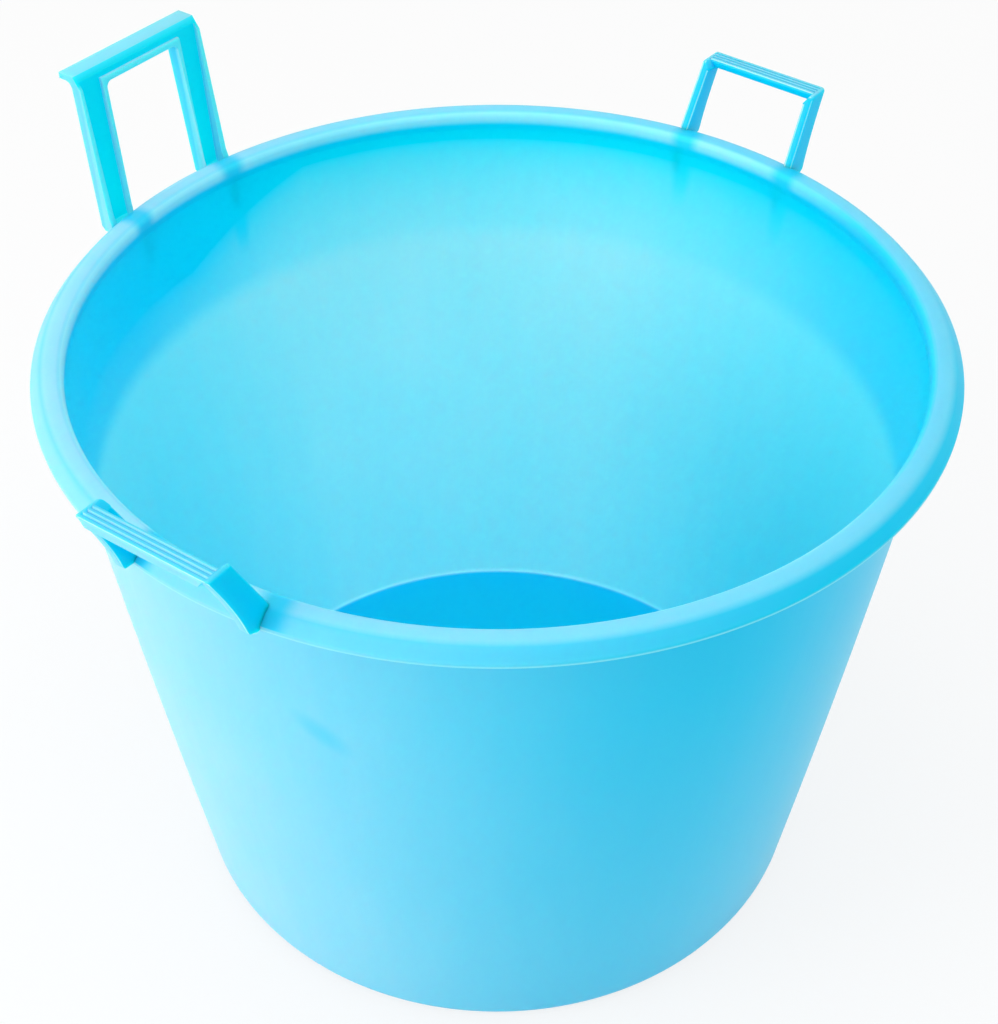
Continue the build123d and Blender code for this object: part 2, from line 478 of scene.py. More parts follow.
# %% Prisms and cuts
def prism(name, outline, start, end, place, end_outline=None):
    """Closed outline carried from start to end, where it may be another one with as many points.

    The place puts two places and a depth into the frame.
    """
    count = len(outline)
    points = [Vector(place(p.x, p.y, d)) * MM
              for d, ring in ((start, outline), (end, end_outline or outline)) for p in ring]
    faces = [tuple(range(count)), tuple(reversed(range(count, 2 * count)))]
    faces += [(k, k + count, (k + 1) % count + count, (k + 1) % count) for k in range(count)]
    obj = as_object(name, mesh_of(name, points, faces))
    tidy_normals(obj)
    return obj


def applied(obj):
    """Bake the modifiers of an object into its mesh."""
    graph = bpy.context.evaluated_depsgraph_get()
    mesh = bpy.data.meshes.new_from_object(obj.evaluated_get(graph))
    obj.modifiers.clear()
    obj.data = mesh


def cut(obj, tool, operation, keep_tool=False):
    modifier = obj.modifiers.new("cut", "BOOLEAN")
    modifier.operation = operation
    modifier.solver = "EXACT"
    modifier.object = tool
    applied(obj)
    if not keep_tool:
        bpy.data.objects.remove(tool)
    return obj


def sideways(r, z, depth):
    return r, depth, z


def through(y, z, depth):
    return depth, y, z


print("outlines are carried", sideways.__name__, "or", through.__name__)

# %% Tall handle from the side
TALL_HEAD_DEPTH = 7.6       # from the outer face to the open side, at the top
TALL_FOOT_DEPTH = 8.5       # and at the foot
TALL_TOP_REACH = 13.0       # past the rim's edge
TALL_FOOT_REACH = 4.0
LIP_OVERHANG = 10.0
LIP = 4.0
LIP_HOLLOW = 5.0            # radius under the lip
BROW_RUN = 5.4              # slope from the open side up to the top
BROW_DROP = 8.0
tall_top = top_of("tall_grip")
outer_top = rim_radius + TALL_TOP_REACH
outer_foot = rim_radius + TALL_FOOT_REACH
foot_level = rim_height - CREASE_DROP
kick = foot_level - skirt_bottom        # below the rim's slope the foot bends in
reach = rim_radius * 2


def tall_side():
    brow = outer_top - TALL_HEAD_DEPTH
    outer_low = outer_foot - CREASE_DROP * (outer_top - outer_foot) / (tall_top - LIP - rim_height)
    return rounded([
        (brow + BROW_RUN, tall_top, 0),
        (outer_top + LIP_OVERHANG, tall_top, 0),
        (outer_top + LIP_OVERHANG, tall_top - LIP, 0),
        (outer_top, tall_top - LIP, LIP_HOLLOW),
        (outer_low, foot_level, 0),
        (outer_low - kick, skirt_bottom, 0),
        (outer_low - TALL_FOOT_DEPTH - kick, skirt_bottom, 0),
        (outer_foot - TALL_FOOT_DEPTH, rim_height, 0),
        (brow, tall_top - BROW_DROP, 0),
    ], closed=True)


tall = prism("tall_handle", tall_side(), -reach, reach, sideways)
print(f"tall_handle from {skirt_bottom:.1f} to {tall_top:.1f} mm")

# %% Front and window of the tall handle
TALL_LENGTH = 106.0
TALL_SPLAY = 2.5
TALL_LEG = 21.5
TALL_BAR = 10.5
WINDOW_ROUND = 4.0
WINDOW_DRAFT = 1.5          # the window is this much wider inside and narrower outside
DRAFT_REACH = 5.0           # over this depth
OVERRUN = 20.0              # cuts run on this far
tall_half = TALL_LENGTH / 2
window_half = tall_half - TALL_LEG
window_top = tall_top - TALL_BAR
below = skirt_bottom - OVERRUN


def window_outline(side_step):
    wide = window_half + side_step * WINDOW_DRAFT * OVERRUN / DRAFT_REACH
    return rounded([(-wide, below, 0), (wide, below, 0), (wide, window_top, WINDOW_ROUND),
                    (-wide, window_top, WINDOW_ROUND)], closed=True)


front = rounded([(-tall_half - TALL_SPLAY, skirt_bottom, 0), (tall_half + TALL_SPLAY, skirt_bottom, 0),
                 (tall_half, tall_top, 0), (-tall_half, tall_top, 0)], closed=True)
cut(tall, prism("front", front, 0, reach, through), "INTERSECT")
middle = (outer_top + outer_foot - TALL_HEAD_DEPTH) / 2
window = prism("window", window_outline(1), middle - OVERRUN, middle + OVERRUN, through,
               window_outline(-1))
cut(tall, window, "DIFFERENCE")
print("window", 2 * window_half, "mm wide")

# %% Channel of the tall handle
TOP_WEB = 4.4               # behind the channel at the top
FOOT_WEB = 2.0              # and at the foot, where the channel is deeper
FLANGE = 2.2
BAR_FLANGE = 3.5            # ledge along the foot of the bar
web_top = outer_top - TOP_WEB
web_foot = outer_foot - FOOT_WEB
web_lean = (web_top - web_foot) / (tall_top - rim_height)


def channel():
    web_low = web_foot - web_lean * CREASE_DROP
    above = tall_top + OVERRUN
    hollow = prism("hollow", rounded([
        (rim_radius / 2, skirt_bottom, 0), (web_low - kick, skirt_bottom, 0), (web_low, foot_level, 0),
        (web_top + web_lean * OVERRUN, above, 0), (rim_radius / 2, above, 0)],
        closed=True), -reach, reach, sideways)
    outer = tall_half - FLANGE
    inner = window_half + FLANGE + WINDOW_DRAFT / 2
    ledge = window_top + BAR_FLANGE
    trough = rounded([(-outer, below, 0), (-inner, below, 0), (-inner, ledge, 0), (inner, ledge, 0),
                      (inner, below, 0), (outer, below, 0), (outer, above, 0), (-outer, above, 0)],
                     closed=True)
    return cut(hollow, prism("trough", trough, 0, reach, through), "INTERSECT")


cut(tall, channel(), "DIFFERENCE")
print("web", TOP_WEB, "mm at the top and", FOOT_WEB, "mm at the foot")

# %% Soft edges of the tall handle
EDGE_SOFT = 0.7
SOFT_STEPS = 3
SOFT_FROM = radians(30)     # edges that turn more than this are rounded
soft = tall.modifiers.new("soft edges", "BEVEL")
soft.width = EDGE_SOFT * MM
soft.segments = SOFT_STEPS
soft.limit_method = "ANGLE"
soft.angle_limit = SOFT_FROM
applied(tall)
tall.data.transform(Matrix.Rotation(angle_of("tall_grip"), 4, "Z"))
print("tall_handle:", len(tall.data.vertices), "vertices")

# %% [markdown]
# ## Seat the handles on the rim
#
# The feet of the handles follow the round rim exactly. A turned solid with the outside of the rim is
# cut out of each handle, a fifth of a millimetre deeper than the rim, so that no slit can show.

# %% Seat the handles
SEAT_DEPTH = 0.2
seat = turned("seat", rounded([
    (0, rim_height - SEAT_DEPTH, 0),
    (rim_radius - CREASE_RUN - SEAT_DEPTH, rim_height - SEAT_DEPTH, CREASE_ROUND),
    (rim_radius - SEAT_DEPTH, rim_height - CREASE_DROP - SEAT_DEPTH, 0),
    (rim_radius - SEAT_DEPTH, below, 0),
    (0, below, 0),
]))
tidy_normals(seat)
for handle in [*straps, tall]:
    tidy_normals(handle)
    cut(handle, seat, "DIFFERENCE", keep_tool=True)
    tidy_normals(handle)
    print(handle.name, len(handle.data.vertices), "vertices")
bpy.data.objects.remove(seat)

# %% [markdown]
# ## Colours and nodes
#
# Colours are written as the hex values that a colour picker shows. The shaders count in linear light,
# so one function turns one into the other. Another adds a node with its settings and its links, and is
# used for every node below.

# %% Colour and node helpers
def linear(hex_colour):
    """An sRGB hex colour as linear red, green, blue and alpha."""
    channels = [int(hex_colour[k:k + 2], 16) / 255 for k in (1, 3, 5)]
    return [c / 12.92 if c <= 0.04045 else ((c + 0.055) / 1.055) ** 2.4 for c in channels] + [1.0]


def empty_tree(owner):
    """Node tree of a material or of the surroundings, with no node in it yet."""
    owner.use_nodes = True
    owner.node_tree.nodes.clear()
    return owner.node_tree


def add_node(tree, kind, **given):
    """Add a shader node. A name in small letters is one of its properties, any other is an input.

    An input is a value, or a node or socket to link from. It is named as on the node, or by an
    underscore and its place where names repeat. From and To are given as pairs of Min and Max.
    """
    node = tree.nodes.new("ShaderNode" + kind)
    inputs = {}
    for name, value in given.items():
        if name.islower():
            setattr(node, name, value)
        elif name in ("From", "To"):
            inputs[name + " Min"], inputs[name + " Max"] = value
        else:
            inputs[int(name[1:]) if name[1:].isdigit() else name.replace("_", " ")] = value
    for place, value in inputs.items():
        if isinstance(value, bpy.types.Node):
            value = next(output for output in value.outputs if output.enabled)
        if isinstance(value, bpy.types.NodeSocket):
            tree.links.new(value, node.inputs[place])
        else:
            node.inputs[place].default_value = value
    return node


print("cyan in linear light:", [round(c, 3) for c in linear("#12cdf6")[:3]])

# %% [markdown]
# ## Low-density polyethylene, moulded
#
# The plastic is soft and waxy, dyed cyan all through, and light goes into it and comes out elsewhere.
# Red light is soaked up within a fraction of a millimetre, green and blue go through the wall. So where
# lamps strike it the tub looks milky, and where light only comes through it the colour is deep.
#
# A flat colour with transmission would look like glass. Subsurface scattering gives the waxy glow, with
# a short reach for red and a long one for green and blue.
# Light and shade are painted into the colour as well: a milky tone where light falls, on the left and
# on the tops, painted highlights on round edges and painted shade in grooves. The floor, the inner
# faces of the handles and the top of a band under the rim are painted deep, as painted shade. Where it
# is painted milky the surface is rougher too. All this is worked out from the height and from which way
# the surface faces, and then broken up with noise.

# %% Which way a face looks
UP = Vector((0, 0, 1))
LEVEL = Vector((1, 1, 0))     # times a place, this leaves out its height
LIGHT_SIDE = Vector((-0.85, 0.5, 0.15)).normalized()     # painted light: faces that look this way are painted milky, as if lit
LIT_FACES = (-0.2, 0.95)    # how far a face has to look there to get painted light at all, and to get it fully
LIGHT_CURVE = 1.7              # above 1 the painted light drops off quickly at first


def facing(tree, direction):
    """How far a face looks in a direction, from minus 1 to 1. The direction is a vector or a node."""
    normal = add_node(tree, "NewGeometry").outputs["Normal"]
    return add_node(tree, "VectorMath", operation="DOT_PRODUCT", _0=normal, _1=direction)


def outward(tree, place):
    """Level direction away from the tub's axis."""
    flat = add_node(tree, "VectorMath", operation="MULTIPLY", _0=place, _1=LEVEL)
    return add_node(tree, "VectorMath", operation="NORMALIZE", _0=flat)


def lit_side(tree):
    """Share of painted light, a milky tone on faces that look towards the lit side."""
    toward_light = add_node(tree, "MapRange", Value=facing(tree, LIGHT_SIDE), From=LIT_FACES)
    return add_node(tree, "Math", operation="POWER", _0=toward_light, _1=LIGHT_CURVE)


print("faded towards", [round(c, 2) for c in LIGHT_SIDE])

# %% Painted shadow and thick roots of the handles
ROOT_HALF = 8.0           # mm, half width at the rim of the painted shadow and thick plastic under a leg
ROOT_SHIFT = -5.5         # mm, the roots of the straps lie this much towards the pouring side
STRAP_DROP = (60.0, 20.0)     # mm below the rim, where a root has run out and where it starts to
TALL_DROP = (72.0, 42.0)
TALL_ANGLES = (0.5, 1.0)  # the tall handle's roots lie beyond these angles
ROOT_TIP = 0.45           # width of a root at its lower end, as a share of that at the rim
ROOT_BLUR = (1.8, 0.4)    # it runs out sideways between these shares of its half width
ROOT_CLEAR = 0.9
FAR_OFF = 100.0           # more half widths than any place is away from a root
OUTER_FACES = (0.95, 0.8)     # faces that look straight out show no root
roots = []
for web, shift in [("right_front_web", ROOT_SHIFT), ("right_rear_web", ROOT_SHIFT),
                   ("tall_right_web", 0)]:
    middle = sum(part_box(web), Vector())
    roots.append(atan2(middle.y, abs(middle.x)) + shift / rim_radius)


def shade_and_thick_root(tree, place, height, away):
    """How far the colour is clear under a leg: painted shadow of the leg, and partly the deeper tint of
    thicker plastic. Left and right mirror each other.
    """
    parts = add_node(tree, "SeparateXYZ", Vector=place)
    across = add_node(tree, "Math", operation="ABSOLUTE", _0=parts.outputs["X"])
    angle = add_node(tree, "Math", operation="ARCTAN2", _0=parts.outputs["Y"], _1=across)
    nearest = FAR_OFF
    for root_angle in roots:
        step = add_node(tree, "Math", operation="SUBTRACT", _0=angle, _1=root_angle)
        share = add_node(tree, "Math", operation="DIVIDE", _0=step, _1=ROOT_HALF / rim_radius)
        share = add_node(tree, "Math", operation="ABSOLUTE", _0=share)
        nearest = add_node(tree, "Math", operation="MINIMUM", _0=share, _1=nearest)
    low, full = [
        add_node(tree, "MapRange", Value=angle, From=TALL_ANGLES,
                 To=[(rim_height - drop) * MM for drop in drops])
        for drops in zip(STRAP_DROP, TALL_DROP)
    ]
    width = add_node(tree, "MapRange", Value=height, From=(low, rim_height * MM), To=(ROOT_TIP, 1.0))
    share = add_node(tree, "Math", operation="DIVIDE", _0=nearest, _1=width)
    root = add_node(tree, "MapRange", interpolation_type="SMOOTHSTEP", Value=share, From=ROOT_BLUR,
                    To_Max=ROOT_CLEAR)
    fade = add_node(tree, "MapRange", interpolation_type="SMOOTHSTEP", Value=height, From=(low, full))
    root = add_node(tree, "Math", operation="MULTIPLY", _0=root, _1=fade)
    outside = add_node(tree, "MapRange", Value=facing(tree, away), From=OUTER_FACES)
    return add_node(tree, "Math", operation="MULTIPLY", _0=root, _1=outside)


print("roots at", [round(a * 180 / pi, 1) for a in roots], "degrees")

# %% Clear patch on the outside
PATCH_PLACE = (-241.2, -60.4, 297.7)     # mm, outside on the left
PATCH_TURN = (0, radians(38.8), radians(-70.6))
PATCH_HALF = (27.0, 30.0, 12.0)          # mm, along it, into the wall, across it
PATCH_BLUR = (1.0, 0.1)
PATCH_CLEAR = 0.42


def clear_patch(tree, place):
    """How far a patch on the outside at the left is clear of the milky tone."""
    nearer = add_node(tree, "Mapping", vector_type="TEXTURE", Vector=place,
                      Location=[c * MM for c in PATCH_PLACE], Rotation=PATCH_TURN,
                      Scale=[c * MM for c in PATCH_HALF])
    away = add_node(tree, "VectorMath", operation="LENGTH", _0=nearer)
    return add_node(tree, "MapRange", interpolation_type="SMOOTHSTEP", Value=away, From=PATCH_BLUR,
                    To_Max=PATCH_CLEAR)


print("smudge at", PATCH_PLACE)

# %% Painted light and shade inside the tub
CLEAR_BAND = 94.0         # mm below the rim, a band of painted shade that gets little painted light
BAND_BLUR = 11.0
LEFT_CLEAR = 60.0         # mm below the rim with no painted light at all, at the left
BACK_CLEAR = 21.0         # and at the back
CLEAR_TURN = (0.12, 0.5)  # it changes between these places
BAND_LIGHT = (0.25, 0.8)    # painted light at the foot of the band, at the sides and at the back
BAND_TURN = (0.2, 0.88)
BAND_CURVE = 0.6          # below 1 the painted light sets in sharply
RIGHT_LIGHT = 0.3           # less painted light at the right
RIGHT_TURN = (0.3, 1.0)
LEFT_LIGHT = 0.52           # at the left
LEFT_TURN = (-0.6, -1.0)
LOW_LIGHT = 0.82            # and near the floor
BEAD_BAND = 8.0           # mm, painted highlight on the rounded edge inside the rim
BEAD_HIGHLIGHT = (0.72, 0.05)   # less of it at the right
BEAD_TURN = (0.65, 0.93)


def below_level(tree, height, drop, blur):
    """1 well below a level that lies under the rim's top, and 0 above it."""
    level = rim_height - drop
    return add_node(tree, "MapRange", interpolation_type="SMOOTHSTEP", Value=height,
                    From=((level + blur) * MM, (level - blur) * MM))


def painted_light_inside(tree, height, at_back, at_right, at_far_right):
    """Share of painted light inside, and 1 below the band of painted shade under the rim, up which the
    painted light dies away.
    """
    clear_from = add_node(tree, "MapRange", Value=at_far_right, From=CLEAR_TURN,
                          To=((rim_height - LEFT_CLEAR) * MM, (rim_height - BACK_CLEAR) * MM))
    band_foot = (rim_height - CLEAR_BAND) * MM
    band = add_node(tree, "MapRange", Value=height, From=(clear_from, band_foot))
    band = add_node(tree, "Math", operation="POWER", _0=band, _1=BAND_CURVE)
    band_share = add_node(tree, "MapRange", Value=at_back, From=BAND_TURN, To=BAND_LIGHT)
    band = add_node(tree, "Math", operation="MULTIPLY", _0=band, _1=band_share)
    below_band = below_level(tree, height, CLEAR_BAND, BAND_BLUR)
    inside_light = add_node(tree, "Mix", data_type="FLOAT", A=band, B=1.0, Factor=below_band)
    for where, turn, least in [
        (at_right, RIGHT_TURN, RIGHT_LIGHT),
        (at_right, LEFT_TURN, LEFT_LIGHT),
        (height, (band_foot, floor_top * MM), LOW_LIGHT),
    ]:
        less = add_node(tree, "MapRange", Value=where, From=turn, To=(1.0, least))
        inside_light = add_node(tree, "Math", operation="MULTIPLY", _0=inside_light, _1=less)
    # Painted highlight on the rounded edge inside the rim, less of it at the right
    bead_share = add_node(tree, "MapRange", Value=at_right, From=BEAD_TURN, To=BEAD_HIGHLIGHT)
    bead = add_node(tree, "Mix", data_type="FLOAT", A=bead_share, B=0.0,
                    Factor=below_level(tree, height, BEAD_BAND, BEAD_BAND / 3))
    return add_node(tree, "Math", operation="MAXIMUM", _0=inside_light, _1=bead), below_band


print(f"clear band from {rim_height - CLEAR_BAND:.1f} to {rim_height:.1f} mm")

# %% Painted light outside, on the lit side, on top and from the floor
CROWN_MILKY = (0.95, 0.47)    # painted light on the rim's flat top, at the left and at the right
CROWN_BACK = 0.85         # share of that which is left at the back
CROWN_TURN = (0.6, 1.0)
FLAT_TOP = (0.72, 0.97)   # faces that look up this far belong to the top of the rim
FLOOR_LIGHT_TOP = 330.0          # mm, painted light bounced off the floor reaches up to here
FLOOR_LIGHT_SHARE = 0.26


def painted_light_outside(tree, height, at_back, at_right):
    """Share of painted light outside: on faces that look to the lit side, on the rim's top, and from
    the floor low down.
    """
    crown = add_node(tree, "MapRange", Value=at_right, From=(-1.0, 1.0), To=CROWN_MILKY)
    less = add_node(tree, "MapRange", Value=at_back, From=CROWN_TURN, To=(1.0, CROWN_BACK))
    crown = add_node(tree, "Math", operation="MULTIPLY", _0=crown, _1=less)
    upward = add_node(tree, "MapRange", Value=facing(tree, UP), From=FLAT_TOP, To_Max=crown)
    milky = add_node(tree, "Math", operation="MAXIMUM", _0=lit_side(tree), _1=upward)
    floor_lit = add_node(tree, "MapRange", Value=height, From=(FLOOR_LIGHT_TOP * MM, 0.0), To_Max=FLOOR_LIGHT_SHARE)
    return add_node(tree, "Mix", data_type="FLOAT", Factor=floor_lit, A=milky, B=1.0)


print("dust up to", FLOOR_LIGHT_TOP, "mm")

# %% Colour of the tub
BACK = Vector((0.88, 0.475, 0.0))         # most painted light inside
RIGHT = Vector((0.593, -0.805, 0.0))      # least painted light, inside and on the rim's top
FAR_RIGHT = Vector((0.99, 0.145, 0.0))    # the band of painted shade under the rim is narrowest here
# Inside: clear where there is no painted light
CLEAR_COLOUR = "#00dcff"
SIDE_COLOUR = "#00cff8"       # painted shade: deeper at the sides inside
SIDE_TURN = (0.5, 0.95)
INSIDE_LIGHT_COLOUR = "#b8eeff"     # painted light inside
# Outside: deep where there is no painted light, milky where there is
DEEP_COLOUR = "#00c6ee"
MILKY_COLOUR = "#9edaf4"
INNER_FACES = (-0.3, -0.7)    # faces that look in this far belong to the inside
# Painted shade on the floor inside
FLOOR_COLOUR = "#00bbde"
FLOOR_BLUR = 1.2
# Painted highlight along the lower edge of the rim
HEM_COLOUR = "#b8f0fc"
HEM = 1.5                     # mm, width of the thin painted highlight along the lower edge of the rim
HEM_SHARE = 0.45


def wall_tone(tree, place, broken):
    """Colour of the tub with its painted light and shade, and how rough its surface is."""
    height = add_node(tree, "SeparateXYZ", Vector=place).outputs["Z"]
    away = outward(tree, place)
    at_back, at_right, at_far_right = [
        add_node(tree, "VectorMath", operation="DOT_PRODUCT", _0=away, _1=direction)
        for direction in (BACK, RIGHT, FAR_RIGHT)
    ]
    inside_light, below_band = painted_light_inside(tree, height, at_back, at_right, at_far_right)
    # No painted light on the patch at the left, nor under the legs, where painted shadow falls
    clear = add_node(tree, "Math", operation="MAXIMUM", _0=clear_patch(tree, place),
                     _1=shade_and_thick_root(tree, place, height, away))
    shown = add_node(tree, "Mix", data_type="FLOAT", Factor=clear, A=broken, B=0.0)
    inside_light, milky = [
        add_node(tree, "Math", operation="MULTIPLY", _0=share, _1=shown)
        for share in (inside_light, painted_light_outside(tree, height, at_back, at_right))
    ]
    inside = add_node(tree, "MapRange", Value=facing(tree, away), From=INNER_FACES)
    # Painted shade: deeper at the sides inside, in the band under the rim
    aside = add_node(tree, "Math", operation="ABSOLUTE", _0=at_right)
    deeper = add_node(tree, "MapRange", Value=aside, From=SIDE_TURN)
    deeper = add_node(tree, "Mix", data_type="FLOAT", Factor=below_band, A=deeper, B=0.0)
    clear_inside = add_node(tree, "Mix", data_type="RGBA", Factor=deeper, _6=linear(CLEAR_COLOUR),
                         _7=linear(SIDE_COLOUR))
    inner = add_node(tree, "Mix", data_type="RGBA", Factor=inside_light, _6=clear_inside,
                     _7=linear(INSIDE_LIGHT_COLOUR))
    outer = add_node(tree, "Mix", data_type="RGBA", Factor=milky, _6=linear(DEEP_COLOUR),
                     _7=linear(MILKY_COLOUR))
    wall = add_node(tree, "Mix", data_type="RGBA", Factor=inside, _6=outer, _7=inner)

    # The floor is painted deeper, as painted shade, and the lower edge of the rim gets a painted
    # highlight
    off_floor = add_node(tree, "MapRange", interpolation_type="SMOOTHSTEP", Value=height,
                         From=(floor_top * MM, (floor_top + FLOOR_BLUR) * MM))
    colour = add_node(tree, "Mix", data_type="RGBA", Factor=off_floor, _6=linear(FLOOR_COLOUR), _7=wall)
    flat = add_node(tree, "VectorMath", operation="MULTIPLY", _0=place, _1=LEVEL)
    span = add_node(tree, "VectorMath", operation="LENGTH", _0=flat)
    on_rim = add_node(tree, "MapRange", Value=span, To_Max=HEM_SHARE,
                      From=((rim_radius - 2 * SKIRT) * MM, (rim_radius - SKIRT) * MM))
    hem = add_node(tree, "Math", operation="MULTIPLY", _0=on_rim,
                   _1=below_level(tree, height, rim_height - skirt_bottom - HEM, HEM / 2))
    colour = add_node(tree, "Mix", data_type="RGBA", Factor=hem, _6=colour, _7=linear(HEM_COLOUR))
    lit_and_dulled = add_node(tree, "Mix", data_type="FLOAT", Factor=inside, A=milky, B=inside_light)
    return colour, lit_and_dulled


print("tub from", DEEP_COLOUR, "to", MILKY_COLOUR)

# %% Painted light on the handles
TOP_LIGHT = (0.45, 0.66)           # painted light on the top of the straps and of the tall handle, which are also rougher there
TOP_LIGHT_MORE = (0.6, 1.25)       # less of it on the left strap and more on the right one
STRAP_PLACES = (-0.28, 0.28)  # m, where they stand
TOP_FACES = (0.55, 0.95)     # faces that look up this far get it
SIDE_LIGHT = (0.85, 0.0)          # painted light on faces that look to the lit side: much at the left, none at the right
SIDE_LIGHT_PLACES = (-0.2, 0.25)
PAINTED_HIGHLIGHTS = [                # painted highlights on round edges: which way they look, and how far they have to
    (Vector((-0.6, 0.0, 0.8)), (0.97, 0.995)),
    (Vector((-0.75, 0.5, 0.42)).normalized(), (0.93, 0.985)),
    (Vector((-0.72, -0.69, 0.0)).normalized(), (0.9, 0.97)),
]


def handle_light(tree, side, tall_share):
    """Share of painted light on the handles: on their tops, and on faces that look to the lit side."""
    top_light = add_node(tree, "MapRange", Value=tall_share, To=TOP_LIGHT)
    more_top_light = add_node(tree, "MapRange", Value=side, From=STRAP_PLACES, To=TOP_LIGHT_MORE)
    top_light = add_node(tree, "Math", operation="MULTIPLY", _0=top_light, _1=more_top_light)
    on_top = add_node(tree, "MapRange", Value=facing(tree, UP), From=TOP_FACES, To_Max=top_light)
    side_light = add_node(tree, "MapRange", Value=side, From=SIDE_LIGHT_PLACES, To=SIDE_LIGHT)
    lit_from_side = add_node(tree, "Math", operation="MULTIPLY", _0=lit_side(tree), _1=side_light)
    return add_node(tree, "Math", operation="MAXIMUM", _0=on_top, _1=lit_from_side)


# Painted highlights on round edges
def painted_highlights(tree):
    edges = 0.0
    for direction, faces in PAINTED_HIGHLIGHTS:
        edge = add_node(tree, "MapRange", Value=facing(tree, direction), From=faces)
        edges = add_node(tree, "Math", operation="MAXIMUM", _0=edge, _1=edges)
    return edges


print(len(PAINTED_HIGHLIGHTS), "kinds of pale edge")

# %% Colour of the handles
HANDLE_COLOUR = "#00cdf2"
TALL_COLOUR = "#00e2ff"       # painted light: the thin tall handle is painted brighter, as if lit through, on faces away from the lit side
TALL_PLACES = (0.1, 0.25)     # m, it stands beyond these
FLANGE_COLOUR = "#8cf6ff"     # painted light on its flanges, paler than its shaded web
FLANGE_PALE = 0.5
FLANGE_BLUR = (0.8, 2.2)      # mm in front of the web
# Painted light on tops and on the lit side
LIT_HANDLE_COLOUR = "#a8d6e2"
# Painted highlight on round edges
EDGE_COLOUR = "#b8f4ff"
# Painted shade in the grooves
GROOVE_COLOUR = "#00a6cc"
GROOVE_SHADE = (0.08, 0.8)           # painted shade in the grooves of the left strap and of the right one
GROOVE_SHADE_PLACES = (-0.3, 0.3)
web_plane = web_foot - web_lean * rim_height


def handle_tone(tree, place, broken):
    """Colour of the handles with painted light, highlights and shade, and how rough their surface is.
    """
    parts = add_node(tree, "SeparateXYZ", Vector=place)
    side = parts.outputs["X"]
    tall_share = add_node(tree, "MapRange", Value=parts.outputs["Y"], From=TALL_PLACES)
    most = handle_light(tree, side, tall_share)
    # Painted light on the tall handle's flanges, in front of its web
    before_web = add_node(tree, "VectorMath", operation="DOT_PRODUCT", _0=place, _1=(0, 1, -web_lean))
    flange_pale = add_node(tree, "Math", operation="MULTIPLY", _0=tall_share, _1=FLANGE_PALE)
    flange = add_node(tree, "MapRange", Value=before_web, To_Max=flange_pale,
                      From=[(web_plane - blur) * MM for blur in FLANGE_BLUR])
    # Painted light on tops and on the lit side, which is also rougher
    lit_and_dulled = add_node(tree, "Math", operation="MULTIPLY", _0=most, _1=broken)
    # Painted light through the thin tall handle, on faces away from the lit side
    lit = add_node(tree, "Mix", data_type="FLOAT", Factor=lit_side(tree), A=tall_share, B=0.0)
    # Painted highlights on round edges
    edges = add_node(tree, "Math", operation="MULTIPLY", _0=painted_highlights(tree), _1=broken)
    sunk = add_node(tree, "Attribute", attribute_name="groove")
    # Painted shade in the grooves
    groove_shade = add_node(tree, "MapRange", Value=side, From=GROOVE_SHADE_PLACES, To=GROOVE_SHADE)
    groove_shade = add_node(tree, "Math", operation="MULTIPLY", _0=sunk.outputs["Fac"], _1=groove_shade)
    colour = linear(HANDLE_COLOUR)
    for share, layer in [(lit, TALL_COLOUR), (flange, FLANGE_COLOUR), (lit_and_dulled, LIT_HANDLE_COLOUR),
                         (edges, EDGE_COLOUR), (groove_shade, GROOVE_COLOUR)]:
        colour = add_node(tree, "Mix", data_type="RGBA", Factor=share, _6=colour, _7=linear(layer))
    return colour, lit_and_dulled


print("handles from", HANDLE_COLOUR, "to", LIT_HANDLE_COLOUR)

# %% Streaks, blotches and scuffs
STREAK_WIDTH = 14.0       # mm, where the melt ran up the wall
STREAK_STRETCH = 0.05     # streaks are twenty times as long as wide
BLOTCH = 70.0
SCUFF_WIDTH = 1.6         # rubbing marks, drawn a little coarse so that they show
SCUFF_STRETCH = 0.12
SCUFF_TURN = (0.5, 0.3, 0.2)
UNEVEN = (0.89, 1.0)      # share of the milky tone that streaks and blotches leave
UNEVEN_SPAN = (0.7, 1.3)
SCUFFED = (0.96, 1.0)     # and that scuffs leave
SCUFFED_SPAN = (0.35, 0.7)


def uneven_wear(tree, place):
    """Share of the milky tone that streaks, blotches and scuffs leave, and the streaks alone."""
    drawn_out = add_node(tree, "Mapping", Vector=place, Scale=(1, 1, STREAK_STRETCH))
    streaks = add_node(tree, "TexNoise", Vector=drawn_out, Detail=3.0, Scale=1 / (STREAK_WIDTH * MM))
    blotches = add_node(tree, "TexNoise", Vector=place, Scale=1 / (BLOTCH * MM), Detail=2.0)
    slanted = add_node(tree, "Mapping", Vector=place, Rotation=SCUFF_TURN, Scale=(1, 1, SCUFF_STRETCH))
    scuffs = add_node(tree, "TexNoise", Vector=slanted, Scale=1 / (SCUFF_WIDTH * MM), Detail=4.0)
    uneven = add_node(tree, "Math", operation="ADD", _0=streaks, _1=blotches)
    uneven = add_node(tree, "MapRange", Value=uneven, From=UNEVEN_SPAN, To=UNEVEN)
    scuffed = add_node(tree, "MapRange", Value=scuffs, From=SCUFFED_SPAN, To=SCUFFED)
    return add_node(tree, "Math", operation="MULTIPLY", _0=uneven, _1=scuffed), streaks


print("streaks", STREAK_WIDTH, "mm wide and", round(STREAK_WIDTH / STREAK_STRETCH), "mm long")

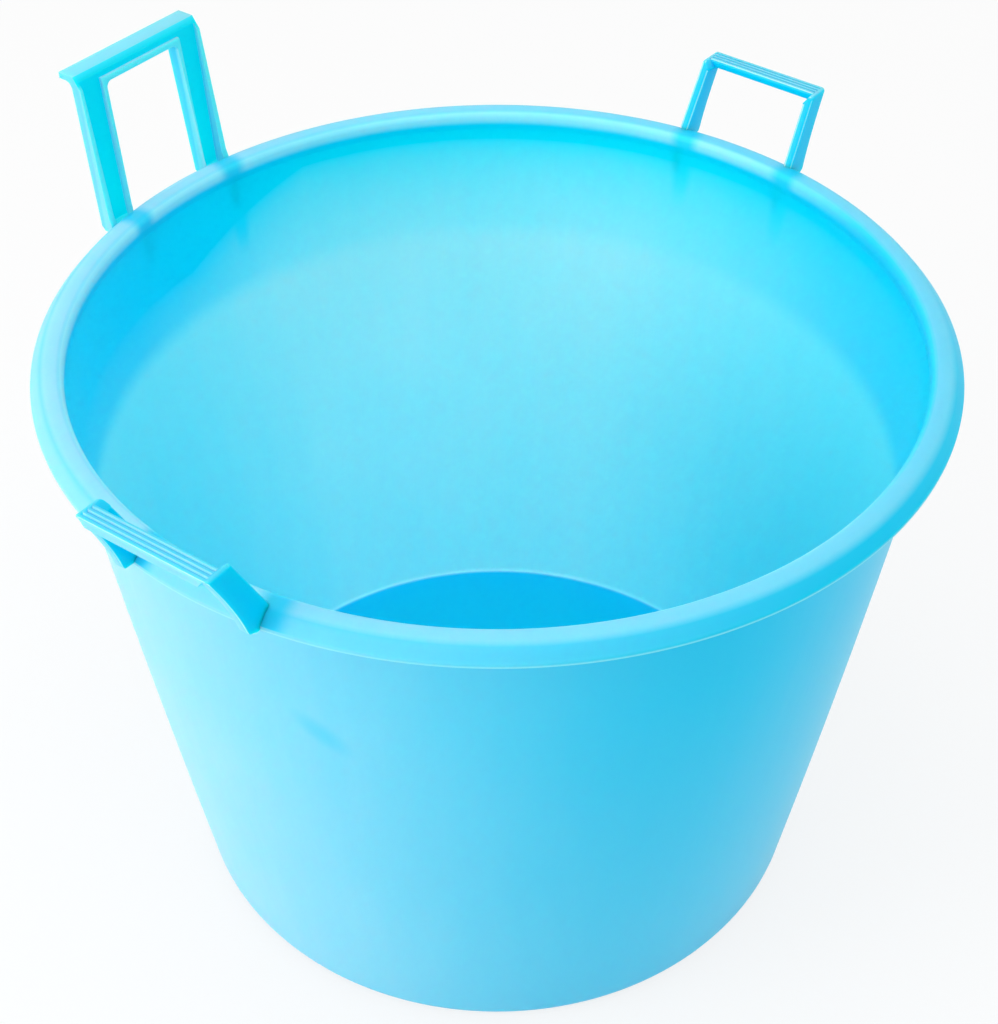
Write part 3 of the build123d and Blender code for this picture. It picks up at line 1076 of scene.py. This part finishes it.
# %% Moulded polyethylene
GRAIN = 0.9               # mm, mould grain, drawn coarse as well
GRAIN_DEPTH = 0.05
GRAIN_STRENGTH = 0.25
WAVE_DEPTH = 0.5          # mm, the streaks are low waves in the surface too
WAVE_STRENGTH = 0.3
ROUGHNESS = (0.34, 0.52)  # where it is clear, and where it is dulled
REFRACTION = 1.51
WAXY_GLOSS = 0.15         # a waxy skin mirrors little
LIGHT_REACH = 9.0         # mm that blue light goes inside
REACH_SHARES = (0.1, 0.85, 1.0)   # of that, for red, green and blue


def polyethylene(name, tone):
    material = bpy.data.materials.new(name)
    tree = empty_tree(material)
    place = add_node(tree, "TexCoord").outputs["Object"]
    broken, streaks = uneven_wear(tree, place)
    colour, lit_and_dulled = tone(tree, place, broken)
    dullness = add_node(tree, "MapRange", Value=lit_and_dulled, To=ROUGHNESS)
    grain = add_node(tree, "TexNoise", Vector=place, Scale=1 / (GRAIN * MM), Detail=2.0)
    skin = add_node(tree, "Bump", Strength=GRAIN_STRENGTH, Distance=GRAIN_DEPTH * MM, Height=grain)
    waves = add_node(tree, "Bump", Strength=WAVE_STRENGTH, Distance=WAVE_DEPTH * MM, Height=streaks,
                     Normal=skin)
    shader = add_node(tree, "BsdfPrincipled", Base_Color=colour, Roughness=dullness, Normal=waves,
                      IOR=REFRACTION, Specular_IOR_Level=WAXY_GLOSS, Subsurface_Weight=1.0,
                      Subsurface_Radius=REACH_SHARES, Subsurface_Scale=LIGHT_REACH * MM)
    add_node(tree, "OutputMaterial", Surface=shader)
    return material


wall_plastic = polyethylene("low-density polyethylene, moulded", wall_tone)
handle_plastic = polyethylene("low-density polyethylene, moulded, handles", handle_tone)
webs = [frame["nodes"][n] for n in frame["nodes"] if n.endswith("_web")]
for plastic, pieces in [(wall_plastic, [tub, *webs]), (handle_plastic, [tall, *straps])]:
    for obj in pieces:
        obj.data.materials.clear()
        obj.data.materials.append(plastic)
    print(plastic.name, "on", len(pieces), "pieces,", len(plastic.node_tree.nodes), "nodes")

# %% [markdown]
# ## What rides on what
#
# Nothing moves on this object, so every piece rides on the one body. Each new piece says which
# solids it stands for, and these are hidden.

# %% Pieces on the body
stands_for = {
    tub: ["base_ring", "floor_panel", "tub_wall", "rim_crown", "rim_skirt"],
    tall: ["tall_grip", "tall_right_leg", "tall_left_leg"],
}
for strap in straps:
    side = strap.name.split("_")[0]
    stands_for[strap] = [f"{side}_grip", f"{side}_front_leg", f"{side}_rear_leg"]
for piece, nodes in stands_for.items():
    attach(piece, "root")
    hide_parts(*nodes)
    print(piece.name, "stands for", nodes)

# %% [markdown]
# ## Floor and light
#
# A white floor runs out of view on every side. One large soft lamp stands low at the left and lights
# the left of the wall, which is painted milky as well, one hangs overhead for the rim, and a narrow one
# shines into the tub. The white surroundings fill in the rest. To the camera, the floor is partly
# bright by itself, so that the shadow stays but is soft.

# %% Floor
FLOOR_HALF = 8.0              # m
FLOOR_GLOW = 0.8
PAPER_COLOUR = "#f4f4f4"
PAPER_ROUGHNESS = 0.9
WHITE = (1, 1, 1, 1)


def seen_white(tree):
    """1 where the camera sees the surface, straight or mirrored, and 0 where it only gives light."""
    path = add_node(tree, "LightPath")
    seen = add_node(tree, "Math", operation="MAXIMUM", _0=path.outputs["Is Camera Ray"],
                    _1=path.outputs["Is Transmission Ray"])
    return add_node(tree, "Math", operation="MAXIMUM", _0=seen, _1=path.outputs["Is Glossy Ray"])


corners = [(a * FLOOR_HALF, b * FLOOR_HALF, 0) for a, b in [(-1, -1), (1, -1), (1, 1), (-1, 1)]]
studio_floor = as_object("studio_floor", mesh_of("studio_floor", corners, [(0, 1, 2, 3)]))
paper = bpy.data.materials.new("white paper, matt")
tree = empty_tree(paper)
glow_share = add_node(tree, "Math", operation="MULTIPLY", _0=seen_white(tree), _1=FLOOR_GLOW)
sheet = add_node(tree, "BsdfPrincipled", Base_Color=linear(PAPER_COLOUR), Roughness=PAPER_ROUGHNESS)
glow = add_node(tree, "Emission", Color=WHITE, Strength=1.0)
both = add_node(tree, "MixShader", _0=glow_share, _1=sheet, _2=glow)
add_node(tree, "OutputMaterial", Surface=both)
studio_floor.data.materials.append(paper)
print("floor", 2 * FLOOR_HALF, "m wide")

# %% Lamps
def soft_lamp(name, turn, rise, distance, size, power):
    """Round soft lamp. The turn is in degrees to the left of the camera, the rise above the ground."""
    data = bpy.data.lights.new(name, "AREA")
    data.shape = "DISK"
    data.size = size
    data.energy = power
    away = direction_at(VIEW_TURN - radians(turn), radians(rise))
    lamp = looking_at(name, data, AIM, away, distance)
    print(name, "at", [round(c, 2) for c in lamp.location])


soft_lamp("left_lamp", turn=67, rise=18, distance=2.8, size=1.4, power=25.0)
soft_lamp("top_lamp", turn=20, rise=78, distance=3.0, size=1.8, power=15.0)

# %% Lamp that shines into the tub
SNOOT_DISTANCE = 2.4
SNOOT_RISE = radians(62)
SNOOT_REACH = 0.22            # radius of its beam at the mouth, inside the rim
SNOOT_POWER = 95.0
SNOOT_BLEND = 0.4             # share of the beam over which it fades
SNOOT_SOFTNESS = 0.1
snoot_data = bpy.data.lights.new("snoot_lamp", "SPOT")
snoot_data.energy = SNOOT_POWER
snoot_data.spot_size = 2 * atan2(SNOOT_REACH, SNOOT_DISTANCE)
snoot_data.spot_blend = SNOOT_BLEND
snoot_data.shadow_soft_size = SNOOT_SOFTNESS
mouth = Vector((0, 0, rim_height * MM))
looking_at("snoot_lamp", snoot_data, mouth, direction_at(VIEW_TURN, SNOOT_RISE), SNOOT_DISTANCE)
print("snoot_lamp with a beam of", round(snoot_data.spot_size * 180 / pi, 1), "degrees")

# %% Surroundings
ROOM_LEVEL = 0.8
room = bpy.data.worlds.new("white room")
tree = empty_tree(room)
level = add_node(tree, "Mix", data_type="FLOAT", Factor=seen_white(tree), A=ROOM_LEVEL, B=1.0)
white = add_node(tree, "Background", Strength=level, Color=WHITE)
add_node(tree, "OutputWorld", Surface=white)
bpy.context.scene.world = room
bpy.context.scene.view_settings.view_transform = "Standard"
print("surroundings at", ROOM_LEVEL)
